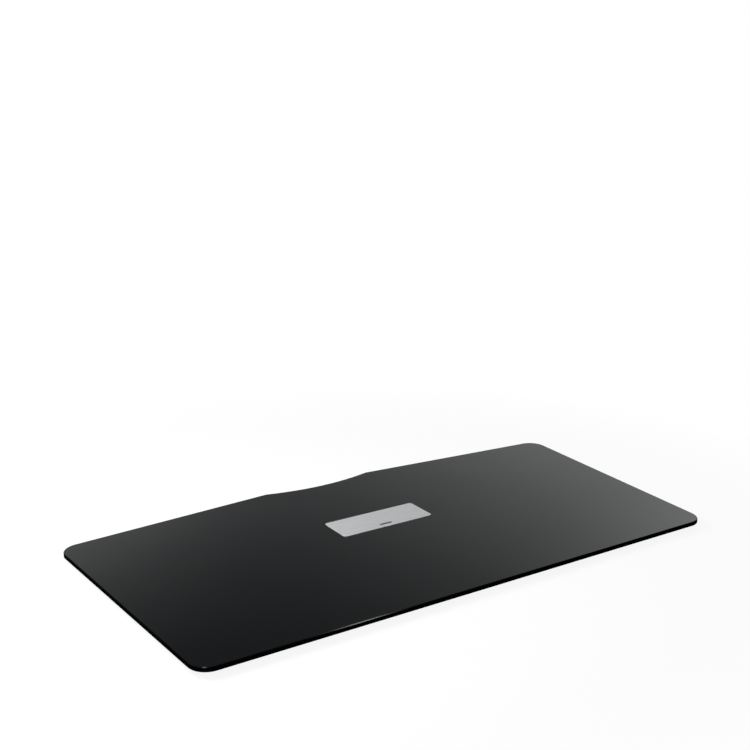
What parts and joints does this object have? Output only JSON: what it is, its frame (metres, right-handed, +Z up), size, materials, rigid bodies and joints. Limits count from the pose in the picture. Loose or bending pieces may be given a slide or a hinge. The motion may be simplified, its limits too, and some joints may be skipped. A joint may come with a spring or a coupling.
{
  "type": "glass equipment shelf",
  "caption": "Flat black glass equipment shelf that widens toward the rear, with a curved cable cut-out, a brushed retaining plate on top and a steel support plate under it.",
  "frame": {"origin": "under the middle of the shelf, on the underside of the support plate", "axes": "+X along the width, +Y from the front edge to the rear edge with the cable cut-out, +Z up"},
  "size_m": [0.6328, 0.3234, 0.0113],
  "materials": {
    "black_glass": "polished black, opaque",
    "brushed_plate": "brushed along its length",
    "seal_rubber": "matt",
    "zinc_steel": "zinc plated",
    "nylon": "natural nylon",
    "gasket_rubber": "matt",
    "black_paint": "fine black powder coat"
  },
  "bodies": {
    "root": {"glass_panel": "black_glass", "retaining_plate": "brushed_plate", "plate_seal": "seal_rubber", "plate_studs": "zinc_steel", "hole_bush_front_left": "nylon", "hole_bush_front_right": "nylon", "hole_bush_rear_left": "nylon", "hole_bush_rear_right": "nylon", "lower_gasket": "gasket_rubber", "support_plate": "black_paint", "sleeve_nuts": "zinc_steel"}
  },
  "joints": []
}
